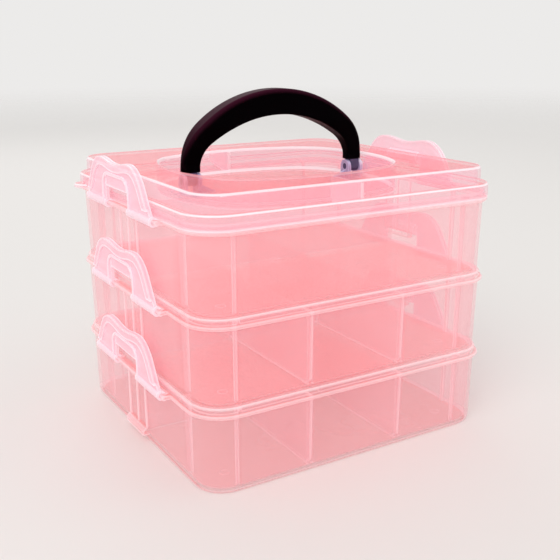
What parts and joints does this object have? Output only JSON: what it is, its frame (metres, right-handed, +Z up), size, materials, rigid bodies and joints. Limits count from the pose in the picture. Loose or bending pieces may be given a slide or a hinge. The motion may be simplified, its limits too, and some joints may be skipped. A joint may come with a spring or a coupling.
{
  "type": "stackable organizer case",
  "caption": "Stack of clear latching trays with loose dividers, a lid with a sunk well and a folding arched handle, for sorting small parts.",
  "frame": {"origin": "centre of the bottom tray's underside", "axes": "+Z up, +X towards the right-hand latches, +Y to the back; the handle runs along X"},
  "size_m": [0.1634, 0.1476, 0.1593],
  "materials": {
    "clear_tray": "milky translucent, satin",
    "clear_lid": "milky translucent, satin",
    "clear_latch": "milky translucent, satin",
    "clear_divider": "milky translucent, satin",
    "black_handle": "glossy"
  },
  "bodies": {
    "tray_bottom": {"tray_bottom": "clear_tray"},
    "tray_middle": {"tray_middle": "clear_tray"},
    "tray_top": {"tray_top": "clear_tray"},
    "lid": {"lid": "clear_lid"},
    "handle": {"handle": "black_handle"},
    "latch_bottom_left": {"latch_bottom_left": "clear_latch"},
    "latch_bottom_right": {"latch_bottom_right": "clear_latch"},
    "latch_middle_left": {"latch_middle_left": "clear_latch"},
    "latch_middle_right": {"latch_middle_right": "clear_latch"},
    "latch_top_left": {"latch_top_left": "clear_latch"},
    "latch_top_right": {"latch_top_right": "clear_latch"},
    "divider_bottom_front_left": {"divider_bottom_front_left": "clear_divider"},
    "divider_bottom_front_right": {"divider_bottom_front_right": "clear_divider"},
    "divider_bottom_back_left": {"divider_bottom_back_left": "clear_divider"},
    "divider_bottom_back_right": {"divider_bottom_back_right": "clear_divider"},
    "divider_middle_front_left": {"divider_middle_front_left": "clear_divider"},
    "divider_middle_front_right": {"divider_middle_front_right": "clear_divider"},
    "divider_middle_back_left": {"divider_middle_back_left": "clear_divider"},
    "divider_middle_back_right": {"divider_middle_back_right": "clear_divider"}
  },
  "joints": [
    {"name": "tray_middle_lift", "type": "slide", "parent": "tray_bottom", "child": "tray_middle", "axis": [0, 0, 1], "range_m": [0, 0.025]},
    {"name": "tray_top_lift", "type": "slide", "parent": "tray_middle", "child": "tray_top", "axis": [0, 0, 1], "range_m": [0, 0.025]},
    {"name": "lid_lift", "type": "slide", "parent": "tray_top", "child": "lid", "axis": [0, 0, 1], "range_m": [0, 0.025]},
    {"name": "handle_fold", "type": "hinge", "parent": "lid", "child": "handle", "pos_m": [0, 0, 0.1195], "axis": [1, 0, 0], "range_deg": [-90, 90]},
    {"name": "latch_bottom_left_hinge", "type": "hinge", "parent": "tray_bottom", "child": "latch_bottom_left", "pos_m": [-0.0796, 0, 0.0354], "axis": [0, -1, 0], "range_deg": [0, 161]},
    {"name": "latch_bottom_right_hinge", "type": "hinge", "parent": "tray_bottom", "child": "latch_bottom_right", "pos_m": [0.0796, 0, 0.0354], "axis": [0, 1, 0], "range_deg": [0, 161]},
    {"name": "latch_middle_left_hinge", "type": "hinge", "parent": "tray_middle", "child": "latch_middle_left", "pos_m": [-0.0796, 0, 0.07305], "axis": [0, -1, 0], "range_deg": [0, 161]},
    {"name": "latch_middle_right_hinge", "type": "hinge", "parent": "tray_middle", "child": "latch_middle_right", "pos_m": [0.0796, 0, 0.07305], "axis": [0, 1, 0], "range_deg": [0, 161]},
    {"name": "latch_top_left_hinge", "type": "hinge", "parent": "tray_top", "child": "latch_top_left", "pos_m": [-0.0796, 0, 0.1107], "axis": [0, -1, 0], "range_deg": [0, 161]},
    {"name": "latch_top_right_hinge", "type": "hinge", "parent": "tray_top", "child": "latch_top_right", "pos_m": [0.0796, 0, 0.1107], "axis": [0, 1, 0], "range_deg": [0, 161]},
    {"name": "divider_bottom_front_left_slide", "type": "slide", "parent": "tray_bottom", "child": "divider_bottom_front_left", "axis": [0, 0, 1], "range_m": [0, 0.0213]},
    {"name": "divider_bottom_front_right_slide", "type": "slide", "parent": "tray_bottom", "child": "divider_bottom_front_right", "axis": [0, 0, 1], "range_m": [0, 0.0213]},
    {"name": "divider_bottom_back_left_slide", "type": "slide", "parent": "tray_bottom", "child": "divider_bottom_back_left", "axis": [0, 0, 1], "range_m": [0, 0.0213]},
    {"name": "divider_bottom_back_right_slide", "type": "slide", "parent": "tray_bottom", "child": "divider_bottom_back_right", "axis": [0, 0, 1], "range_m": [0, 0.0213]},
    {"name": "divider_middle_front_left_slide", "type": "slide", "parent": "tray_middle", "child": "divider_middle_front_left", "axis": [0, 0, 1], "range_m": [0, 0.0213]},
    {"name": "divider_middle_front_right_slide", "type": "slide", "parent": "tray_middle", "child": "divider_middle_front_right", "axis": [0, 0, 1], "range_m": [0, 0.0213]},
    {"name": "divider_middle_back_left_slide", "type": "slide", "parent": "tray_middle", "child": "divider_middle_back_left", "axis": [0, 0, 1], "range_m": [0, 0.0213]},
    {"name": "divider_middle_back_right_slide", "type": "slide", "parent": "tray_middle", "child": "divider_middle_back_right", "axis": [0, 0, 1], "range_m": [0, 0.0213]}
  ],
  "couplings": [
    {"joint": "latch_bottom_left_hinge", "follows": "tray_middle_lift", "rad_per_m": 111.7},
    {"joint": "latch_bottom_right_hinge", "follows": "tray_middle_lift", "rad_per_m": 111.7},
    {"joint": "latch_middle_left_hinge", "follows": "tray_top_lift", "rad_per_m": 111.7},
    {"joint": "latch_middle_right_hinge", "follows": "tray_top_lift", "rad_per_m": 111.7},
    {"joint": "latch_top_left_hinge", "follows": "lid_lift", "rad_per_m": 111.7},
    {"joint": "latch_top_right_hinge", "follows": "lid_lift", "rad_per_m": 111.7},
    {"joint": "divider_bottom_front_left_slide", "follows": "tray_middle_lift", "ratio": 0.85},
    {"joint": "divider_bottom_front_right_slide", "follows": "tray_middle_lift", "ratio": 0.85},
    {"joint": "divider_bottom_back_left_slide", "follows": "tray_middle_lift", "ratio": 0.85},
    {"joint": "divider_bottom_back_right_slide", "follows": "tray_middle_lift", "ratio": 0.85},
    {"joint": "divider_middle_front_left_slide", "follows": "tray_top_lift", "ratio": 0.85},
    {"joint": "divider_middle_front_right_slide", "follows": "tray_top_lift", "ratio": 0.85},
    {"joint": "divider_middle_back_left_slide", "follows": "tray_top_lift", "ratio": 0.85},
    {"joint": "divider_middle_back_right_slide", "follows": "tray_top_lift", "ratio": 0.85}
  ]
}
